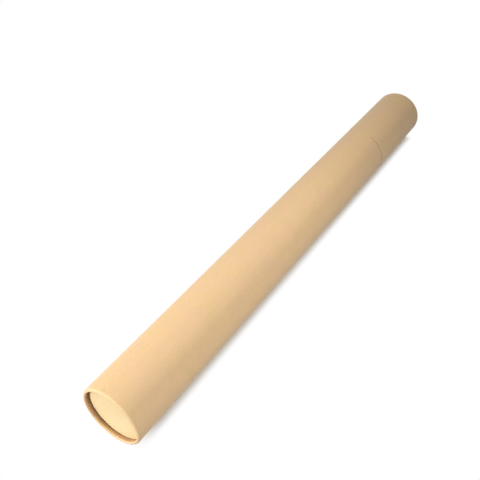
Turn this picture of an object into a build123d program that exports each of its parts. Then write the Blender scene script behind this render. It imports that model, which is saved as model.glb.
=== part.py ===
from build123d import *
import os

# Poster tube of wound kraft board: a long body, a slip-on lid of the same outside diameter, a neck
# glued into the body's mouth for the lid to slide on, and a disc set into each closed end.
# The tube stands on its base rim: Z is its axis, and the origin is the middle of the base rim.

# Driving dimensions, in millimetres
outer_diameter = 65.0  # outside of the body and of the lid
overall_length = 628.0  # base rim to lid rim with the lid closed
lid_length = 131.0  # lid rim to the seam
tube_wall = 2.2  # wound board of the body and of the lid
rim_radius = 0.8  # wrap paper turned over the outside of a closed end's rim
recess_bevel = 0.6  # inside edge of a closed end's rim
seam_bevel = 0.5  # outside edges that meet at the seam, which make its fine groove
mouth_bevel = 0.3  # inside edges of the two mouths
end_recess = 4.7  # rim to the outside face of a disc
disc_thickness = 2.4
disc_edge_bevel = 1.0  # pressed outside edge of a disc, which leaves a crevice at the wall
glue_line = 0.1  # all round a disc
neck_wall = 1.5
neck_glued_length = 90.0  # neck inside the body
neck_headroom = 3.0  # top of the neck to the underside of the lid's disc
neck_bevel = 0.5  # lead-in edges of the neck
slip_clearance = 0.25  # all round the neck, so that the lid slides

# Radii and heights that follow
outer_radius = outer_diameter / 2
bore_radius = outer_radius - tube_wall
disc_radius = bore_radius - glue_line
neck_outer_radius = bore_radius - slip_clearance
neck_bore_radius = neck_outer_radius - neck_wall
seam_height = overall_length - lid_length
lid_disc_top = overall_length - end_recess
lid_disc_underside = lid_disc_top - disc_thickness
neck_bottom = seam_height - neck_glued_length
neck_top = lid_disc_underside - neck_headroom

# No rounding or bevel takes more than this share of the wall that carries it
LARGEST_SHARE_OF_WALL = 0.45

# Places of a rim and of its edges in their sorted lists
BOTTOM, TOP = 0, -1
AT_BORE, OUTSIDE = 0, -1


def limited(edge_size, wall):
    """The size of an edge's rounding or bevel, held to what its wall can carry."""
    return min(edge_size, LARGEST_SHARE_OF_WALL * wall)


def finished_edge(tube, rim, side, finish, size):
    """The tube with one of the two round edges of a rim given its finish, a fillet or a chamfer."""
    rim_edges = tube.edges().filter_by(GeomType.CIRCLE).group_by(Axis.Z)[rim]
    return finish(rim_edges.sort_by(SortBy.RADIUS)[side], size)


def straight_tube(bore, outside, bottom, top, bottom_edges, top_edges):
    """A tube about Z. Each pair of edges gives the finish and size at a rim's bore and outside."""
    wall = outside - bore
    tube = Pos(0, 0, bottom) * extrude(Circle(outside) - Circle(bore), top - bottom)
    for rim, edges in ((BOTTOM, bottom_edges), (TOP, top_edges)):
        for side, (finish, size) in zip((AT_BORE, OUTSIDE), edges):
            tube = finished_edge(tube, rim, side, finish, limited(size, wall))
    return tube


def pressed_disc(face_height, outward):
    """A board disc whose outside face is at face_height, with that face's edge pressed to a bevel.

    outward is +1 for a disc that faces up and -1 for one that faces down.
    """
    middle = face_height - outward * disc_thickness / 2
    disc = Pos(0, 0, middle) * Cylinder(disc_radius, disc_thickness)
    outside_face = disc.faces().sort_by(Axis.Z)[TOP if outward > 0 else BOTTOM]
    return chamfer(outside_face.edges(), limited(disc_edge_bevel, disc_thickness))


turned_rim = ((chamfer, recess_bevel), (fillet, rim_radius))
seam_mouth = ((chamfer, mouth_bevel), (chamfer, seam_bevel))
neck_end = ((chamfer, neck_bevel), (chamfer, neck_bevel))


def body_tube():
    """The long tube: its base rim is turned over, and its mouth has the seam's edges."""
    return straight_tube(bore_radius, outer_radius, 0, seam_height, turned_rim, seam_mouth)


def lid_tube():
    """The lid's wall, which seats on the body's mouth and slides over the neck."""
    return straight_tube(bore_radius, outer_radius, seam_height, overall_length, seam_mouth, turned_rim)


def neck_sleeve():
    """The inner sleeve glued into the body's mouth, standing out into the lid."""
    return straight_tube(neck_bore_radius, neck_outer_radius, neck_bottom, neck_top, neck_end, neck_end)


def base_disc():
    """The disc set into the body's base end, facing down."""
    return pressed_disc(end_recess, -1)


def lid_disc():
    """The disc set into the lid's far end, facing up."""
    return pressed_disc(lid_disc_top, 1)


pieces = {
    "body_tube": body_tube(),
    "neck_sleeve": neck_sleeve(),
    "base_disc": base_disc(),
    "lid_tube": lid_tube(),
    "lid_disc": lid_disc(),
}

os.makedirs("parts", exist_ok=True)
for name, solid in pieces.items():
    export_step(solid, f"parts/{name}.step")
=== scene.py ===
import math

import bmesh
import bpy
from mathutils import Matrix, Vector, noise


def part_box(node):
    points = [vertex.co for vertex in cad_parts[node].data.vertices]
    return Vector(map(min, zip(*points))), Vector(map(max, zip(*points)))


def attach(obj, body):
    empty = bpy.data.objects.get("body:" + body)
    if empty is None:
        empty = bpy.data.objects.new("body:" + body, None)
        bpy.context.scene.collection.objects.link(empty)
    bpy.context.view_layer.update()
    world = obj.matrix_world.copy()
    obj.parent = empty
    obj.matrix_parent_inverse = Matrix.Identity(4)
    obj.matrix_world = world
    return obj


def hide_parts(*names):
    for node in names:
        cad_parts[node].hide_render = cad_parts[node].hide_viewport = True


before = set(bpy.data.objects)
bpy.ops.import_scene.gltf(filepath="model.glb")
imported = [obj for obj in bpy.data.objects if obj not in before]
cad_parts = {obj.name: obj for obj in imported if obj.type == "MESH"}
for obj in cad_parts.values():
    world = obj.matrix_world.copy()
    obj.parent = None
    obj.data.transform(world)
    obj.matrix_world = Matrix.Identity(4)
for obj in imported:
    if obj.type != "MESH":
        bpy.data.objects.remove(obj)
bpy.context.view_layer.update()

# A poster tube of kraft board. The frame's Z is the tube's axis. In the scene the tube lies on its side:
# the floor is a plane along the tube, and places are given along the axis, to its side and up from it.

MM = 0.001
ALONG = Vector((0, 0, 1))
UP = Vector((1, -1, 0)).normalized()  # away from the floor
SIDE = ALONG.cross(UP)

# Sizes of the solids that the pieces stand for
body_low, body_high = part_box("body_tube")
lid_low, lid_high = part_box("lid_tube")
neck_low, neck_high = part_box("neck_sleeve")
base_disc_low, base_disc_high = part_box("base_disc")
lid_disc_low, lid_disc_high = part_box("lid_disc")
OUTER_RADIUS = body_high.x
NECK_RADIUS = neck_high.x
DISC_RADIUS = base_disc_high.x
TUBE_WALL = 2.2 * MM
NECK_WALL = 1.5 * MM
BORE_RADIUS = OUTER_RADIUS - TUBE_WALL
RECESS = base_disc_low.z  # rim to the outside face of a disc
TURN_IN = base_disc_high.z  # the wrap goes in over the rim as far as a disc's back

# Edge finishes
BASE_RIM = 2.1 * MM  # outside of the base rim, rolled well round
LID_RIM = 1.0 * MM  # outside of the lid's rim, rolled tighter
RECESS_EDGE = 0.9 * MM  # inside of a closed end's rim
RIM_LIP = 1.0 * MM  # how far the rolled rim of a closed end stands in from the bore
LIP_DEPTH = 1.6 * MM  # rim to the back of that lip
LIP_FOOT = 3.0 * MM  # rim to where the lip runs out into the bore
LIP_BACK_EDGE = 0.4 * MM
SEAM_LIP = 0.6 * MM  # the two outside edges that meet at the seam
MOUTH_EDGE = 0.3 * MM  # inside edges of the two mouths
NECK_EDGE = 0.5 * MM
DISC_EDGE = 0.5 * MM  # pressed edge of a disc's outside face

# A disc's outside face rises from its edge in these steps, each a width and a rise in millimetres
DISC_RISES = ((0.5, 0.16), (0.8, 0.13), (1.2, 0.1), (1.8, 0.07), (2.4, 0.03), (3.0, 0.01))
DISC_FLAT_RING = 9 * MM  # the flat ring inside those steps

# Long soft hollows in the outside of the tubes' walls
HOLLOW_DEPTH = 0.12 * MM
HOLLOW_LENGTH = 70 * MM
HOLLOW_CIRCLE = 1.3  # radius of the circle in the noise that goes once round a wall
HOLLOW_START = 3 * MM  # from an end of the wall
HOLLOW_FADE = 16 * MM  # from there to the full depth
BODY_HOLLOWS = 3.7  # where in the noise the hollows of each wall begin
LID_HOLLOWS = 21.3

# Fineness of the meshes
STEPS_ROUND = 256
RING_MARGIN = 3.4 * MM  # from an end of a wall to the first ring of edges round it
TUBE_RING_SPACING = 8 * MM
NECK_RING_SPACING = 20 * MM
NEAR = 1e-6  # closer than this is the same place
BORE_MARGIN = 0.05 * MM  # a face this near the bore is part of it
MERGED = 1e-7  # points closer than this become one


def place(along, side, up):
    """A point given in millimetres along the tube's axis, to its side, and up from its axis."""
    return MM * (along * ALONG + side * SIDE + up * UP)


# Meshes


def spun(profile):
    """A mesh spun round Z from a closed profile of (radius, height) points."""
    mesh = bmesh.new()
    points = [mesh.verts.new((radius, 0, height)) for radius, height in profile]
    for first, second in zip(points, points[1:] + points[:1]):
        mesh.edges.new((first, second))
    bmesh.ops.spin(
        mesh,
        geom=mesh.verts[:] + mesh.edges[:],
        cent=(0, 0, 0),
        axis=(0, 0, 1),
        angle=2 * math.pi,
        steps=STEPS_ROUND,
        use_merge=True,
    )
    bmesh.ops.remove_doubles(mesh, verts=mesh.verts, dist=MERGED)
    bmesh.ops.recalc_face_normals(mesh, faces=mesh.faces)
    return mesh


def circle_edges(mesh, radius, height):
    """The edges of the circle at a radius and a height."""

    def on_circle(vertex):
        return abs(vertex.co.xy.length - radius) < NEAR and abs(vertex.co.z - height) < NEAR

    return [edge for edge in mesh.edges if all(on_circle(vertex) for vertex in edge.verts)]


def round_edge(mesh, radius, height, size, segments):
    """Rounds the edge round a circle."""
    bmesh.ops.bevel(
        mesh,
        geom=circle_edges(mesh, radius, height),
        offset=size,
        affect="EDGES",
        segments=segments,
        profile=0.5,
        material=-1,
    )


def cut_rings(mesh, heights):
    """Cuts a ring of edges round the mesh at each height."""
    for height in heights:
        bmesh.ops.bisect_plane(
            mesh,
            geom=mesh.verts[:] + mesh.edges[:] + mesh.faces[:],
            plane_co=(0, 0, height),
            plane_no=(0, 0, 1),
        )


def ring_heights(bottom, top, spacing):
    """Heights of rings close to both ends, and evenly spaced between them."""
    span = top - bottom - 2 * RING_MARGIN
    count = max(2, round(span / spacing))
    return [bottom + RING_MARGIN + span / count * i for i in range(count + 1)]


def settle_wall(mesh, bottom, top, seed):
    """Moves the outside wall in, in long soft hollows that fade out at both ends."""
    for vertex in mesh.verts:
        radius = vertex.co.xy.length
        if radius < OUTER_RADIUS - NEAR:
            continue
        from_end = min(vertex.co.z - bottom, top - vertex.co.z)
        fade = min(1.0, max(0.0, (from_end - HOLLOW_START) / HOLLOW_FADE))
        around = HOLLOW_CIRCLE * vertex.co.xy / radius
        where = Vector((around.x, around.y, vertex.co.z / HOLLOW_LENGTH + seed))
        hollow = 0.5 + 0.5 * noise.noise(where)
        vertex.co.xy *= 1 - HOLLOW_DEPTH * fade * max(0.0, min(1.0, hollow)) / radius


def piece(name, mesh, body, node, materials, material_of):
    """Makes a finished piece that stands for a node and moves with its body."""
    for face in mesh.faces:
        face.smooth = True
        face.material_index = material_of(face)
    data = bpy.data.meshes.new(name)
    mesh.to_mesh(data)
    mesh.free()
    for material in materials:
        data.materials.append(material)
    made = bpy.data.objects.new(name, data)
    bpy.context.scene.collection.objects.link(made)
    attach(made, body)
    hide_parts(node)


# Materials


class Wire:
    """An output socket in a material. Operators on it add Math nodes."""

    def __init__(self, socket):
        self.socket = socket

    def node(self, kind, settings, sockets, output=0):
        """A new node: its settings are made first, then its sockets get their values or links."""
        tree = self.socket.id_data
        made = tree.nodes.new("ShaderNode" + kind)
        for name, value in settings.items():
            setattr(made, name, value)
        for key, value in sockets.items():
            if isinstance(value, Wire):
                tree.links.new(value.socket, made.inputs[key])
            else:
                made.inputs[key].default_value = value
        return Wire(made.outputs[output])

    def math(self, operation, *values):
        """A Math node of these values."""
        return self.node("Math", {"operation": operation}, dict(enumerate(values)))

    def __add__(self, other):
        return self.math("ADD", self, other)

    def __radd__(self, other):
        return self.math("ADD", other, self)

    def __sub__(self, other):
        return self.math("SUBTRACT", self, other)

    def __rsub__(self, other):
        return self.math("SUBTRACT", other, self)

    def __mul__(self, other):
        return self.math("MULTIPLY", self, other)

    def __rmul__(self, other):
        return self.math("MULTIPLY", other, self)

    def __abs__(self):
        return self.math("ABSOLUTE", self)

    def rise(self, low, high):
        """0 up to low, 1 from high, and smooth between them."""
        sockets = {"Value": self, "From Min": low, "From Max": high}
        return self.node("MapRange", {"interpolation_type": "SMOOTHSTEP"}, sockets)

    def part(self, axis):
        """One of this vector's three numbers, by the letter of its axis."""
        return self.node("SeparateXYZ", {}, {0: self}, output=axis)

    def measure(self, operation, *others):
        """A number from this vector, such as its length or its distance from a point."""
        sockets = dict(enumerate((self, *others)))
        return self.node("VectorMath", {"operation": operation}, sockets, output="Value")

    def scaled(self, factor):
        """This colour or vector times a number."""
        return self.node("VectorMath", {"operation": "SCALE"}, {0: self, "Scale": factor})

    def stretched(self, x, y, z):
        """This vector with each axis times its own number."""
        return self.node("VectorMath", {"operation": "MULTIPLY"}, {0: self, 1: (x, y, z)})

    def clouds(self, size, detail, distortion=0.0):
        """Noise from 0 to 1 at this vector, with lumps of about this size in metres."""
        sockets = {"Vector": self, "Scale": 1 / size, "Detail": detail, "Distortion": distortion}
        return self.node("TexNoise", {}, sockets)

    def between(self, first, second):
        """A colour that goes from the first to the second as this factor goes from 0 to 1."""
        return self.node("Mix", {"data_type": "RGBA"}, {0: self, 6: first, 7: second}, output=2)


def new_material(name):
    """A material with its Principled shader, and a wire of its Object coordinates."""
    material = bpy.data.materials.new(name)
    material.use_nodes = True
    nodes = material.node_tree.nodes
    shader = nodes["Principled BSDF"]
    coordinates = nodes.new("ShaderNodeTexCoord")
    return material, shader, Wire(coordinates.outputs["Object"])


def feed(shader, socket, wire):
    """Links a wire to a socket of the shader."""
    shader.id_data.links.new(wire.socket, shader.inputs[socket])


def radius_at(here):
    """How far a point is from the tube's axis."""
    return here.stretched(1, 1, 0).measure("LENGTH")


# Grain of paper and board: the sizes of its parts, and how strongly they show in its tone and its height
CLOUD_SIZE = 16 * MM
PULP_SIZE = 3.2 * MM
STREAK_SIZE = 5 * MM
STREAK_SQUEEZE = 0.07  # of the noise along the tube, which draws the streaks out
TOOTH_SIZE = 0.35 * MM
FIBRE_CURL = 0.8
FIBRE_BREAK = 2.2  # a fibre's lines are broken up by lumps this many times its size
FIBRE_BREAK_BAND = (0.48, 0.62)  # levels of those lumps between no line and a whole one
PALE_FIBRE_SIZE = 0.7  # of a dark fibre's size
PALE_FIBRE_STRETCH = (1.2, 1.2, 0.9)  # so that pale fibres lie elsewhere than dark ones
DARK_FIBRE_WIDTH = 0.03  # in levels of the noise that the lines follow
PALE_FIBRE_WIDTH = 0.028
CLOUD_TONE = 0.08
PULP_TONE = 0.08
DARK_FIBRE_TONE = 0.07
PALE_FIBRE_TONE = 0.06
TOOTH_HEIGHT = 0.35
PALE_FIBRE_HEIGHT = 0.3
DARK_FIBRE_HEIGHT = 0.25
PULP_HEIGHT = 0.3

# Surface of paper and board
BUMP_STRENGTH = 0.6
SPECULAR_LEVEL = 0.32
SHEEN_WEIGHT = 0.06
SHEEN_ROUGHNESS = 0.4


def fibre_lines(here, size, width):
    """Thin curved lines like paper fibres, from 0 to 1, broken up so that none runs far."""
    level = here.clouds(size, detail=1.0, distortion=FIBRE_CURL)
    line = 1 - abs(level - 0.5).rise(0.0, width)
    return line * here.clouds(FIBRE_BREAK * size, detail=1.0).rise(*FIBRE_BREAK_BAND)


def board_detail(here, fibre_size, streak_tone):
    """Tone around 1, height and clouds of paper: cloudy pulp, machine streaks, fibres and tooth."""
    cloud = here.clouds(CLOUD_SIZE, detail=3.0)
    pulp = here.clouds(PULP_SIZE, detail=2.0)
    streak = here.stretched(1, 1, STREAK_SQUEEZE).clouds(STREAK_SIZE, detail=2.0)
    dark_fibre = fibre_lines(here, fibre_size, DARK_FIBRE_WIDTH)
    elsewhere = here.stretched(*PALE_FIBRE_STRETCH)
    pale_fibre = fibre_lines(elsewhere, PALE_FIBRE_SIZE * fibre_size, PALE_FIBRE_WIDTH)
    tooth = here.clouds(TOOTH_SIZE, detail=2.0)
    tone = 1 + CLOUD_TONE * (cloud - 0.5) + PULP_TONE * (pulp - 0.5) + streak_tone * (streak - 0.5)
    tone = tone - DARK_FIBRE_TONE * dark_fibre + PALE_FIBRE_TONE * pale_fibre
    height = TOOTH_HEIGHT * tooth + PALE_FIBRE_HEIGHT * pale_fibre
    height = height + DARK_FIBRE_HEIGHT * dark_fibre + PULP_HEIGHT * pulp
    return tone, height, cloud


def finish_board(shader, colour, height, roughness, depth):
    """Wires paper's colour, roughness and surface into its shader."""
    feed(shader, "Base Color", colour)
    feed(shader, "Roughness", roughness)
    bump = height.node("Bump", {}, {"Height": height, "Strength": BUMP_STRENGTH, "Distance": depth})
    feed(shader, "Normal", bump)
    shader.inputs["Specular IOR Level"].default_value = SPECULAR_LEVEL
    shader.inputs["Sheen Weight"].default_value = SHEEN_WEIGHT
    shader.inputs["Sheen Roughness"].default_value = SHEEN_ROUGHNESS


# Colours of paper and board
KRAFT = (0.71, 0.477, 0.269, 1)
KRAFT_YELLOW = (0.705, 0.484, 0.255, 1)
KRAFT_PALE = (0.76, 0.58, 0.39, 1)
# colour of the painted shade in the closed ends and the seam's groove
KRAFT_SHADE = (0.24, 0.125, 0.055, 1)
BOARD = (0.47, 0.335, 0.205, 1)
BOARD_GREY = (0.43, 0.325, 0.215, 1)
LINER = (0.56, 0.385, 0.225, 1)
DISC = (0.85, 0.653, 0.371, 1)
DISC_YELLOW = (0.845, 0.656, 0.361, 1)

# A band, here and below, is a pair: where a soft change begins and where it is complete.

# Patches of slightly yellower paper
KRAFT_PATCH = 24 * MM
DISC_PATCH = 20 * MM
PATCH_BAND = (0.35, 0.65)  # levels of the noise between one hue and the other

# The wrap's lap, where its edge lies over its start
LAP_OF_BODY = math.radians(135)
LAP_OF_LID = math.radians(160)
LAP_SIDE_BAND = (0, 5 * MM)  # keeps the lap to one side of the axis
LAP_STEP_BAND = (-0.05 * MM, 0.12 * MM)
LAP_LINE = 0.1 * MM  # middle of the line along the lap's edge
LAP_LINE_BAND = (0.08 * MM, 0.3 * MM)
LAP_TONE = 0.12
LAP_HEIGHT = 2.0

# Marks of use, and painted shade in the closed ends and the seam's groove
RUB_RAGGED = 0.3 * MM  # how far the rubbed edge of a rim wanders
RUB_LUMPS = 2.5 * MM
RUB_BAND = (0.15 * MM, 0.6 * MM)  # from the rim
RUB_STRENGTH = 0.1
INSIDE_BAND = (BORE_RADIUS + 0.1 * MM, BORE_RADIUS + 0.8 * MM)  # from the axis
INSIDE_SMOOTH = 0.9  # how much of the grain's height is lost inside a closed end
RECESS_SHADE = 0.7  # painted shade on the wall of a closed end, growing towards its disc
RECESS_BAND = (-0.8 * MM, RECESS)  # from the rim
CREVICE_SHADE = 0.1  # more painted shade where that wall meets the disc
CREVICE_BAND = (RECESS - 0.6 * MM, RECESS + 0.4 * MM)
DISC_SHADE = 0.15  # painted shade on a disc, growing towards its edge
DISC_SHADE_BAND = (0.55 * DISC_RADIUS, DISC_RADIUS)
DISC_CREVICE_SHADE = 0.25  # more painted shade at the edge itself
DISC_CREVICE_BAND = (DISC_RADIUS - 0.8 * MM, DISC_RADIUS - 0.1 * MM)
SEAM_SHADE_ANGLE = math.radians(75)
SEAM_SHADE_SIDE = math.cos(SEAM_SHADE_ANGLE) * UP + math.sin(SEAM_SHADE_ANGLE) * SIDE  # the seam's groove gets strong painted shade on this side, away from the key lamp
SEAM_SHADE_BAND = (0.48 * OUTER_RADIUS, 0.66 * OUTER_RADIUS)  # how far out to that side
SEAM_SHADE_DARK = 0.88  # painted shade on that side, on top of what shows all round
# faint painted shade in the seam's groove all round
SEAM_DARK = 0.1
SEAM_BAND = (0.4 * MM, 0.8 * MM)  # from the mouth
GROOVE_BAND = (OUTER_RADIUS - 0.13 * MM, OUTER_RADIUS - 0.005 * MM)  # from the axis
SMUDGE = place(3.8, -4.9, 32.1)  # a faint mark on the body, beside its base rim
SMUDGE_BAND = (0.6 * MM, 3 * MM)
SMUDGE_TONE = 0.08


def rubbed_rim(here, from_rim):
    """1 on the edge of a rim, where the paper is rubbed, with a ragged end."""
    ragged = from_rim + RUB_RAGGED * here.clouds(RUB_LUMPS, detail=2.0)
    return 1 - ragged.rise(*RUB_BAND)


def recess_shade(from_rim):
    """How much painted shade the inside of a closed end gets, darker towards its disc."""
    return RECESS_SHADE * from_rim.rise(*RECESS_BAND) + CREVICE_SHADE * from_rim.rise(*CREVICE_BAND)


def seam_groove_shade(here, radius, from_mouth):
    """How much painted shade the seam's groove gets: faint all round, and dark on the side away from the
    key lamp.
    """
    below = 1 - radius.rise(*GROOVE_BAND)
    toward_shade_side = here.measure("DOT_PRODUCT", SEAM_SHADE_SIDE)
    dark = SEAM_DARK + SEAM_SHADE_DARK * toward_shade_side.rise(*SEAM_SHADE_BAND)
    return below * dark * (1 - from_mouth.rise(*SEAM_BAND))


def paper_lap(here, lap_turn):
    """The step of the wrap's lap, from 0 to 1 across it, and the line along its edge."""
    turned = here.node("Mapping", {}, {"Vector": here, "Rotation": (0, 0, -lap_turn)})
    across = turned.part("Y")
    facing = turned.part("X").rise(*LAP_SIDE_BAND)
    step = facing * across.rise(*LAP_STEP_BAND)
    line = facing * (1 - abs(across - LAP_LINE).rise(*LAP_LINE_BAND))
    return step, line


def kraft_wrap(name, rim, mouth, lap_turn):
    """Kraft wrap paper: rubbed at the rim, with painted shade in the recess and the seam's groove,
    lapped and smudged.
    """
    material, shader, here = new_material(name)
    tone, height, cloud = board_detail(here, fibre_size=2.4 * MM, streak_tone=0.05)
    level = here.part("Z")
    radius = radius_at(here)
    from_rim = abs(level - rim)
    from_mouth = abs(level - mouth)
    inside = 1 - radius.rise(*INSIDE_BAND)
    smudge = 1 - here.measure("DISTANCE", SMUDGE).rise(*SMUDGE_BAND)
    lap_step, lap_line = paper_lap(here, lap_turn)
    colour = here.clouds(KRAFT_PATCH, detail=1.0).rise(*PATCH_BAND).between(KRAFT, KRAFT_YELLOW)
    colour = (RUB_STRENGTH * rubbed_rim(here, from_rim)).between(colour, KRAFT_PALE)
    # painted shade in the recess, darker towards the disc
    colour = (inside * recess_shade(from_rim)).between(colour, KRAFT_SHADE)
    # painted shade in the seam's groove
    colour = seam_groove_shade(here, radius, from_mouth).between(colour, KRAFT_SHADE)
    tone = tone - LAP_TONE * lap_line - SMUDGE_TONE * smudge
    height = (1 - INSIDE_SMOOTH * inside) * height - LAP_HEIGHT * lap_step
    roughness = 0.48 + 0.1 * cloud
    finish_board(shader, colour.scaled(tone), height, roughness, depth=0.06 * MM)
    return material


# Spiral plies of the bare board
PLY_LEAD = 110 * MM  # along the tube in one turn of a spiral ply
PLY_JOINT_BAND = (0.002, 0.008)  # in turns
PLY_JOINT_TONE = 0.25
PLY_JOINT_HEIGHT = 1.5


def raw_board(name):
    """The bare wound board inside the tubes, with the joints of its spiral plies."""
    material, shader, here = new_material(name)
    tone, height, cloud = board_detail(here, fibre_size=3.0 * MM, streak_tone=0.04)
    across = here.part("Y")
    turn = across.math("ARCTAN2", across, here.part("X")) * (1 / (2 * math.pi))
    ply = turn + here.part("Z") * (1 / PLY_LEAD)
    from_joint = abs(ply.math("FRACT", ply) - 0.5)
    joint = 1 - from_joint.rise(*PLY_JOINT_BAND)
    colour = cloud.rise(0.3, 0.7).between(BOARD, BOARD_GREY)
    tone = tone - PLY_JOINT_TONE * joint
    height = height - PLY_JOINT_HEIGHT * joint
    roughness = 0.7 + 0.12 * cloud
    finish_board(shader, colour.scaled(tone), height, roughness, depth=0.08 * MM)
    return material


# Rubs that the lid leaves on the neck
SLIDE_RUB_SIZE = 2.2 * MM  # across the rubs
SLIDE_RUB_SQUEEZE = 0.03  # of the noise along the neck, which draws the rubs out
SLIDE_RUB_BAND = (0.56, 0.72)  # levels of that noise between no rub and a whole one
SLIDE_RUB_PALE = 0.16
SLIDE_RUB_POLISH = 0.14  # taken off the roughness


def neck_liner(name):
    """The neck's smooth liner board, burnished in long rubs where the lid slides on it."""
    material, shader, here = new_material(name)
    tone, height, cloud = board_detail(here, fibre_size=2.0 * MM, streak_tone=0.06)
    rub_noise = here.stretched(1, 1, SLIDE_RUB_SQUEEZE).clouds(SLIDE_RUB_SIZE, detail=2.0)
    rub = rub_noise.rise(*SLIDE_RUB_BAND)
    colour = cloud.rise(0.35, 0.75).between(LINER, BOARD)
    colour = (SLIDE_RUB_PALE * rub).between(colour, KRAFT_PALE)
    roughness = 0.58 + 0.1 * cloud - SLIDE_RUB_POLISH * rub
    finish_board(shader, colour.scaled(tone), height, roughness, depth=0.05 * MM)
    return material


def disc_board(name):
    """The discs' pressed board, with painted shade growing towards the edge and darkest down in the
    crevice at the wall.
    """
    material, shader, here = new_material(name)
    tone, height, cloud = board_detail(here, fibre_size=2.2 * MM, streak_tone=0.03)
    radius = radius_at(here)
    # painted shade on the disc, growing towards its edge and darkest at the crevice
    painted_shade = DISC_SHADE * radius.rise(*DISC_SHADE_BAND)
    painted_shade = painted_shade + DISC_CREVICE_SHADE * radius.rise(*DISC_CREVICE_BAND)
    colour = here.clouds(DISC_PATCH, detail=1.0).rise(*PATCH_BAND).between(DISC, DISC_YELLOW)
    colour = painted_shade.between(colour, KRAFT_SHADE)
    roughness = 0.6 + 0.1 * cloud
    finish_board(shader, colour.scaled(tone), height, roughness, depth=0.05 * MM)
    return material


body_paper = kraft_wrap("kraft_wrap_body", body_low.z, body_high.z, LAP_OF_BODY)
lid_paper = kraft_wrap("kraft_wrap_lid", lid_high.z, lid_low.z, LAP_OF_LID)
inside_board = raw_board("raw_board_inside")
neck_paper = neck_liner("neck_liner")
disc_paper = disc_board("disc_board")


# Pieces


def tube_mesh(bottom, top, closed_at, rim_rounding, seed):
    """A tube's wall, with a rolled rim at its closed end and the seam's edge at its mouth."""
    mouth = top if closed_at == bottom else bottom
    inward = math.copysign(1, mouth - closed_at)
    lip_radius = BORE_RADIUS - RIM_LIP
    lip_back = closed_at + inward * LIP_DEPTH
    corners = [
        (BORE_RADIUS, mouth),
        (OUTER_RADIUS, mouth),
        (OUTER_RADIUS, closed_at),
        (lip_radius, closed_at),
        (lip_radius, lip_back),
        (BORE_RADIUS, closed_at + inward * LIP_FOOT),
    ]
    mesh = spun(corners)
    round_edge(mesh, OUTER_RADIUS, closed_at, rim_rounding, segments=8)
    round_edge(mesh, lip_radius, closed_at, RECESS_EDGE, segments=6)
    round_edge(mesh, lip_radius, lip_back, LIP_BACK_EDGE, segments=3)
    round_edge(mesh, OUTER_RADIUS, mouth, SEAM_LIP, segments=4)
    round_edge(mesh, BORE_RADIUS, mouth, MOUTH_EDGE, segments=2)
    cut_rings(mesh, ring_heights(bottom, top, TUBE_RING_SPACING))
    cut_rings(mesh, [closed_at + inward * TURN_IN])
    settle_wall(mesh, bottom, top, seed)
    return mesh


def inside_or_wrap(face):
    """1 for a face of the bore past the turned-in wrap, where the board is bare, and 0 for the paper."""
    middle = face.calc_center_median()
    in_bore = middle.xy.length < BORE_RADIUS + BORE_MARGIN
    return int(in_bore and TURN_IN < middle.z < lid_high.z - TURN_IN)


def pressed_disc(face_height, back_height):
    """A disc whose outside face falls away softly towards its edge, into the crevice at the wall."""
    inward = math.copysign(MM, back_height - face_height)
    shoulder = face_height + inward * sum(rise for width, rise in DISC_RISES)
    mesh = bmesh.new()
    bmesh.ops.create_circle(mesh, cap_ends=True, segments=STEPS_ROUND, radius=DISC_RADIUS)
    bmesh.ops.translate(mesh, verts=mesh.verts, vec=(0, 0, back_height))
    grown = bmesh.ops.extrude_face_region(mesh, geom=mesh.faces[:])
    raised = [item for item in grown["geom"] if isinstance(item, bmesh.types.BMVert)]
    bmesh.ops.translate(mesh, verts=raised, vec=(0, 0, shoulder - back_height))
    bmesh.ops.recalc_face_normals(mesh, faces=mesh.faces)
    round_edge(mesh, DISC_RADIUS, shoulder, DISC_EDGE, segments=4)
    front = [max(mesh.faces, key=lambda face: abs(face.calc_center_median().z - back_height))]
    for width, rise in DISC_RISES:
        bmesh.ops.inset_region(mesh, faces=front, thickness=width * MM, use_even_offset=True)
        bmesh.ops.translate(mesh, verts=front[0].verts, vec=(0, 0, -inward * rise))
    bmesh.ops.inset_region(mesh, faces=front, thickness=DISC_FLAT_RING, use_even_offset=True)
    bmesh.ops.poke(mesh, faces=front)
    return mesh


def neck_mesh():
    """The inner sleeve, with both ends' edges eased."""
    inside = NECK_RADIUS - NECK_WALL
    bottom = neck_low.z
    top = neck_high.z
    mesh = spun([(inside, bottom), (NECK_RADIUS, bottom), (NECK_RADIUS, top), (inside, top)])
    for radius in (inside, NECK_RADIUS):
        for height in (bottom, top):
            round_edge(mesh, radius, height, NECK_EDGE, segments=3)
    cut_rings(mesh, ring_heights(bottom, top, NECK_RING_SPACING))
    return mesh


def only_first(face):
    """Every face has the first material."""
    return 0


wall_of_body = tube_mesh(body_low.z, body_high.z, body_low.z, BASE_RIM, BODY_HOLLOWS)
wall_of_lid = tube_mesh(lid_low.z, lid_high.z, lid_high.z, LID_RIM, LID_HOLLOWS)
body_materials = [body_paper, inside_board]
lid_materials = [lid_paper, inside_board]
piece("body_wall", wall_of_body, "tube", "body_tube", body_materials, inside_or_wrap)
piece("lid_wall", wall_of_lid, "lid", "lid_tube", lid_materials, inside_or_wrap)
piece("neck", neck_mesh(), "tube", "neck_sleeve", [neck_paper], only_first)
disc_of_base = pressed_disc(base_disc_low.z, base_disc_high.z)
disc_of_lid = pressed_disc(lid_disc_high.z, lid_disc_low.z)
piece("base_end", disc_of_base, "tube", "base_disc", [disc_paper], only_first)
piece("lid_end", disc_of_lid, "lid", "lid_disc", [disc_paper], only_first)


# Floor

FLOOR_HALF_WIDTH = 2.5  # in metres
FLOOR_MIDDLE = place(314, 0, 0) - OUTER_RADIUS * UP
FLOOR_SHADE = (0.55, 0.48, 0.38, 1)
SHADE_REACH = 12 * MM
SHADE_BAND = (0.0, 0.75)  # share of the sky that the tube hides
SHADE_SIDE_BAND = (-4 * MM, 12 * MM)
SHADE_END_BAND = (0, 40 * MM)  # along the tube from its base
WHITE = (1, 1, 1, 1)


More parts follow.
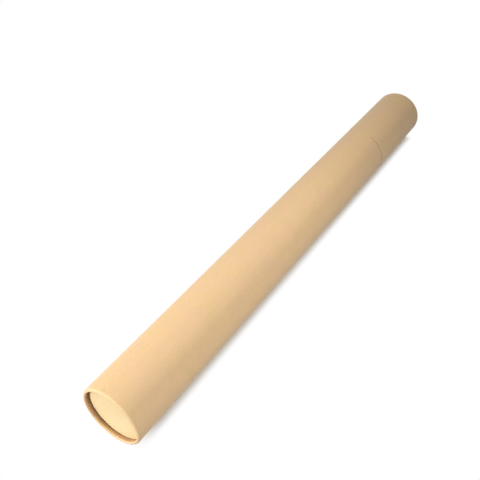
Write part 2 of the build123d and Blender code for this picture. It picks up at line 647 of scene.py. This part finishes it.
def floor_material():
    """White to look at, and shaded close to the tube on one side of it. It is clear from behind."""
    material = bpy.data.materials.new("floor_white")
    material.use_nodes = True
    tree = material.node_tree
    tree.nodes.clear()
    output = tree.nodes.new("ShaderNodeOutputMaterial")
    from_behind = Wire(tree.nodes.new("ShaderNodeNewGeometry").outputs["Backfacing"])
    here = Wire(tree.nodes.new("ShaderNodeTexCoord").outputs["Object"])
    open_sky = here.node("AmbientOcclusion", {"samples": 8}, {"Distance": SHADE_REACH}, output="AO")
    aside = here.measure("DOT_PRODUCT", SIDE)
    beside = aside.rise(*SHADE_SIDE_BAND) * here.part("Z").rise(*SHADE_END_BAND)
    shade = (1 - open_sky).rise(*SHADE_BAND) * beside
    shaded = here.node("BsdfDiffuse", {}, {"Color": FLOOR_SHADE})
    white = here.node("Emission", {}, {"Color": WHITE, "Strength": 1.0})
    shown = here.node("MixShader", {}, {0: shade, 1: white, 2: shaded})
    clear = here.node("BsdfTransparent", {}, {})
    sided = here.node("MixShader", {}, {0: from_behind, 1: shown, 2: clear})
    tree.links.new(sided.socket, output.inputs["Surface"])
    return material


def floor():
    """A plane that the tube's side lies on."""
    mesh = bmesh.new()
    bmesh.ops.create_grid(mesh, x_segments=8, y_segments=8, size=FLOOR_HALF_WIDTH)
    turn = Matrix((SIDE, ALONG, UP)).transposed().to_4x4()
    bmesh.ops.transform(mesh, verts=mesh.verts, matrix=turn)
    bmesh.ops.translate(mesh, verts=mesh.verts, vec=FLOOR_MIDDLE)
    mesh.normal_update()
    data = bpy.data.meshes.new("floor")
    mesh.to_mesh(data)
    mesh.free()
    data.materials.append(floor_material())
    made = bpy.data.objects.new("floor", data)
    bpy.context.scene.collection.objects.link(made)
    made.visible_shadow = False
    made.visible_diffuse = False


floor()


# Light

LIT_MIDDLE = place(228, 0, 0)  # the point on the axis that most lamps face
SURROUND_LIGHT = 0.03


def lamp(name, position, target, watts, width, length):
    """A soft lamp that faces a target. Its length runs along the tube, and gloss doesn't mirror it."""
    light = bpy.data.lights.new(name, "AREA")
    light.shape = "ELLIPSE" if length == width else "RECTANGLE"
    light.size = width
    light.size_y = length
    light.energy = watts
    made = bpy.data.objects.new(name, light)
    made.location = position
    made.rotation_mode = "QUATERNION"
    made.rotation_quaternion = (target - position).to_track_quat("-Z", "Y")
    made.visible_camera = False
    made.visible_glossy = False
    bpy.context.scene.collection.objects.link(made)


lamp("key_lamp", place(-85, -486, 638), LIT_MIDDLE, watts=6.3, width=0.13, length=0.13)
lamp("left_front", place(-1000, -480, 100), LIT_MIDDLE, watts=15.4, width=0.6, length=0.6)
lamp("right_high", place(-97, 700, 500), LIT_MIDDLE, watts=4.72, width=0.325, length=0.325)
lamp("right_middle", place(343, 258, 248), place(300, 0, 0), watts=0.32, width=0.13, length=0.13)
lamp("right_near", place(60, 330, 50), place(60, 0, 0), watts=0.15, width=0.06, length=0.2)
lamp("end_fill", place(1900, 0, 60), place(628, 0, 0), watts=13.0, width=0.4, length=0.4)
lamp("back_fill", place(514, -422, -795), LIT_MIDDLE, watts=7.0, width=0.5, length=0.5)


def white_surround():
    """A world that is white to look at or to mirror, and dim as a light."""
    world = bpy.data.worlds.new("surround")
    bpy.context.scene.world = world
    world.use_nodes = True
    tree = world.node_tree
    tree.nodes.clear()
    output = tree.nodes.new("ShaderNodeOutputWorld")
    path = tree.nodes.new("ShaderNodeLightPath")
    seen = Wire(path.outputs["Is Camera Ray"])
    mirrored = Wire(path.outputs["Is Glossy Ray"])
    through = Wire(path.outputs["Is Transmission Ray"])
    looked_at = seen.math("MAXIMUM", seen, mirrored.math("MAXIMUM", mirrored, through))
    dim = seen.node("Background", {}, {"Color": WHITE, "Strength": SURROUND_LIGHT})
    white = seen.node("Background", {}, {"Color": WHITE, "Strength": 1.0})
    shown = seen.node("MixShader", {}, {0: looked_at, 1: dim, 2: white})
    tree.links.new(shown.socket, output.inputs["Surface"])


white_surround()


# Camera

CAMERA_PLACE = place(-187.2, 258.9, 463.8)
CAMERA_TARGET = place(256.6, -36.1, 0)
SENSOR_WIDTH = 36
LENS = 46.15


def photo_camera():
    """The camera at the photograph's place, level with the floor."""
    forward = (CAMERA_TARGET - CAMERA_PLACE).normalized()
    right = forward.cross(UP).normalized()
    upward = right.cross(forward)
    data = bpy.data.cameras.new("photo_camera")
    data.sensor_width = SENSOR_WIDTH
    data.lens = LENS
    made = bpy.data.objects.new("photo_camera", data)
    turn = Matrix((right, upward, -forward)).transposed().to_4x4()
    made.matrix_world = Matrix.Translation(CAMERA_PLACE) @ turn
    bpy.context.scene.collection.objects.link(made)
    bpy.context.scene.camera = made


photo_camera()
bpy.context.scene.view_settings.view_transform = "Standard"
